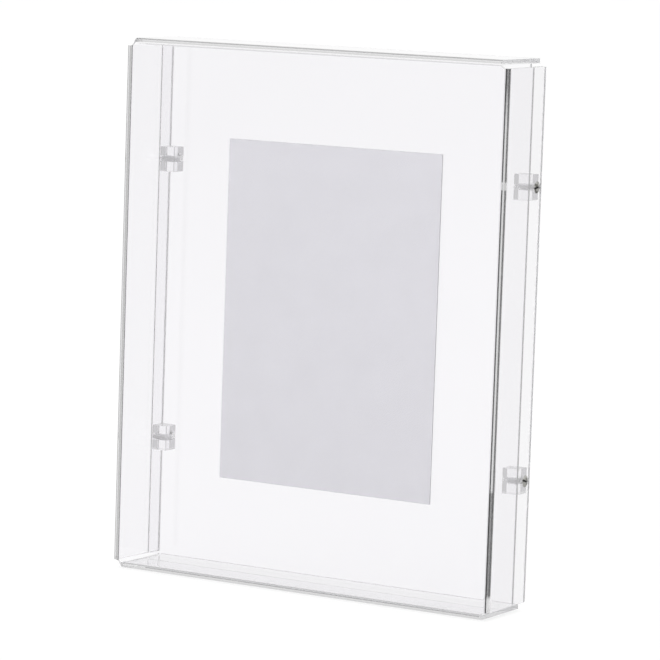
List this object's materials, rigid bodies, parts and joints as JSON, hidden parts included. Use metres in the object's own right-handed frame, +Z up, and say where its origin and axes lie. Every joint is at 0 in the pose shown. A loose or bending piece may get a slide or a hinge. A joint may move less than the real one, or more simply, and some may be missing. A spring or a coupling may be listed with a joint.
{
  "type": "clip frame",
  "caption": "Free-standing clear picture frame: a bent clear cover screwed to side blocks on an inner clear panel that carries a plain picture board.",
  "frame": {"origin": "middle of the base, on the surface the frame stands on", "axes": "+Z up, the front of the cover faces -Y, +X to the right seen from the front"},
  "size_m": [0.2258, 0.041, 0.2785],
  "materials": {
    "cover_acrylic": "clear polished acrylic sheet",
    "panel_acrylic": "clear polished acrylic sheet",
    "block_acrylic": "clear acrylic with satin sawn faces",
    "picture_card": "plain light grey matt board",
    "sticky_pad": "white foam sticky pad",
    "screw_steel": "plain turned steel"
  },
  "bodies": {
    "root": {"front_cover": "cover_acrylic", "back_panel": "panel_acrylic", "clip_block_upper_left": "block_acrylic", "clip_block_upper_right": "block_acrylic", "clip_block_lower_left": "block_acrylic", "clip_block_lower_right": "block_acrylic", "picture_board": "picture_card", "picture_pad_upper_left": "sticky_pad", "picture_pad_upper_right": "sticky_pad", "picture_pad_lower_left": "sticky_pad", "picture_pad_lower_right": "sticky_pad"},
    "screw_upper_left": {"clip_screw_upper_left": "screw_steel"},
    "screw_upper_right": {"clip_screw_upper_right": "screw_steel"},
    "screw_lower_left": {"clip_screw_lower_left": "screw_steel"},
    "screw_lower_right": {"clip_screw_lower_right": "screw_steel"}
  },
  "joints": [
    {"name": "screw_upper_left_out", "type": "slide", "parent": "root", "child": "screw_upper_left", "axis": [-1, 0, 0], "range_m": [0, 0.012]},
    {"name": "screw_upper_right_out", "type": "slide", "parent": "root", "child": "screw_upper_right", "axis": [1, 0, 0], "range_m": [0, 0.012]},
    {"name": "screw_lower_left_out", "type": "slide", "parent": "root", "child": "screw_lower_left", "axis": [-1, 0, 0], "range_m": [0, 0.012]},
    {"name": "screw_lower_right_out", "type": "slide", "parent": "root", "child": "screw_lower_right", "axis": [1, 0, 0], "range_m": [0, 0.012]}
  ]
}
